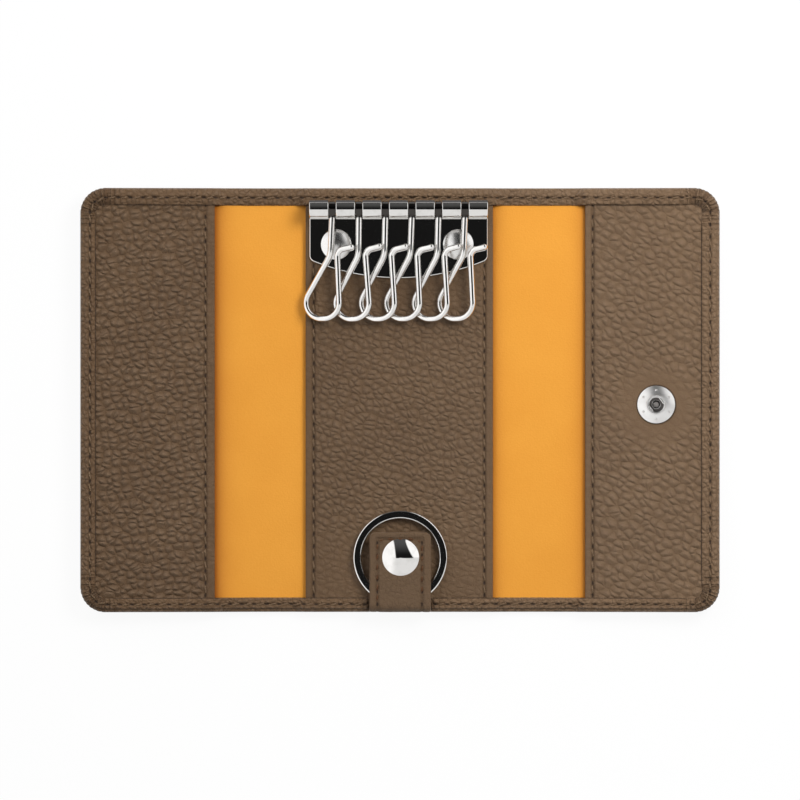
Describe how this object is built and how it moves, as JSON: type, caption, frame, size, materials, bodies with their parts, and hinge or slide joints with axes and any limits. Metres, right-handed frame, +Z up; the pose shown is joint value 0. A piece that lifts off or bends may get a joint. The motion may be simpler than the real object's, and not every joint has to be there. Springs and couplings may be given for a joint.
{
  "type": "key case",
  "caption": "Tri-fold leather key case lying open: slip pockets, a riveted plate of swinging wire key hooks, a key ring under a snap strap and a snap that closes the flaps.",
  "frame": {"origin": "on the table under the middle of the open case", "axes": "+X across the open case from the left flap to the right flap, +Y from the strap towards the key hooks, +Z up from the table"},
  "size_m": [0.1599, 0.106, 0.0085],
  "materials": {
    "leather_brown": "pebbled grain, semi-matt",
    "lining_orange": "smooth fine grain",
    "board_grey": "plain board",
    "nickel": "polished nickel plate",
    "spring_steel": "drawn wire"
  },
  "bodies": {
    "centre": {"cover_centre": "leather_brown", "lining_centre": "lining_orange", "centre_board": "board_grey", "centre_panel": "leather_brown", "key_plate": "nickel", "hook_axle": "nickel", "rivet_cap_left": "nickel", "rivet_cap_right": "nickel", "rivet_base_left": "nickel", "rivet_base_right": "nickel", "strap_root": "leather_brown", "strap_snap_stud": "nickel", "strap_snap_base": "nickel"},
    "left_flap": {"cover_left": "leather_brown", "lining_left": "lining_orange", "left_pocket": "leather_brown", "flap_snap_stud": "nickel", "flap_snap_base": "nickel"},
    "right_flap": {"cover_right": "leather_brown", "lining_right": "lining_orange", "right_pocket": "leather_brown", "flap_snap_cap": "nickel", "flap_snap_socket": "nickel", "flap_snap_spring": "spring_steel"},
    "strap": {"strap_front": "leather_brown", "strap_back": "leather_brown", "strap_snap_cap": "nickel", "strap_snap_socket": "nickel", "strap_snap_spring": "spring_steel"},
    "key_ring": {"key_ring": "nickel"},
    "hook_1": {"hook_1": "nickel"},
    "hook_2": {"hook_2": "nickel"},
    "hook_3": {"hook_3": "nickel"},
    "hook_4": {"hook_4": "nickel"},
    "hook_5": {"hook_5": "nickel"},
    "hook_6": {"hook_6": "nickel"}
  },
  "joints": [
    {"name": "left_fold", "type": "hinge", "parent": "centre", "child": "left_flap", "pos_m": [-0.032, 0, 0.0063], "axis": [0, -1, 0], "range_deg": [-176.64, 3.36]},
    {"name": "right_fold", "type": "hinge", "parent": "centre", "child": "right_flap", "pos_m": [0.0336, 0, 0.00915], "axis": [0, 1, 0], "range_deg": [-177.16, 2.84]},
    {"name": "strap_swing", "type": "hinge", "parent": "centre", "child": "strap", "pos_m": [0.0001, -0.053, 0.004], "axis": [1, 0, 0], "range_deg": [0, 170]},
    {"name": "ring_spin", "type": "hinge", "parent": "centre", "child": "key_ring", "pos_m": [0.0001, -0.03935, 0.00305], "axis": [0, 0, 1], "continuous": true},
    {"name": "hook_1_swing", "type": "hinge", "parent": "centre", "child": "hook_1", "pos_m": [-0.01689, 0.0476, 0.006], "axis": [-1, 0, 0], "range_deg": [0, 180]},
    {"name": "hook_2_swing", "type": "hinge", "parent": "centre", "child": "hook_2", "pos_m": [-0.01026, 0.0476, 0.006], "axis": [-1, 0, 0], "range_deg": [0, 180]},
    {"name": "hook_3_swing", "type": "hinge", "parent": "centre", "child": "hook_3", "pos_m": [-0.00363, 0.0476, 0.006], "axis": [-1, 0, 0], "range_deg": [0, 180]},
    {"name": "hook_4_swing", "type": "hinge", "parent": "centre", "child": "hook_4", "pos_m": [0.003, 0.0476, 0.006], "axis": [-1, 0, 0], "range_deg": [0, 180]},
    {"name": "hook_5_swing", "type": "hinge", "parent": "centre", "child": "hook_5", "pos_m": [0.00963, 0.0476, 0.006], "axis": [-1, 0, 0], "range_deg": [0, 180]},
    {"name": "hook_6_swing", "type": "hinge", "parent": "centre", "child": "hook_6", "pos_m": [0.01627, 0.0476, 0.006], "axis": [-1, 0, 0], "range_deg": [0, 180]}
  ],
  "couplings": [
    {"joint": "hook_1_swing", "follows": "hook_6_swing", "ratio": 1},
    {"joint": "hook_2_swing", "follows": "hook_6_swing", "ratio": 1},
    {"joint": "hook_3_swing", "follows": "hook_6_swing", "ratio": 1},
    {"joint": "hook_4_swing", "follows": "hook_6_swing", "ratio": 1},
    {"joint": "hook_5_swing", "follows": "hook_6_swing", "ratio": 1}
  ]
}
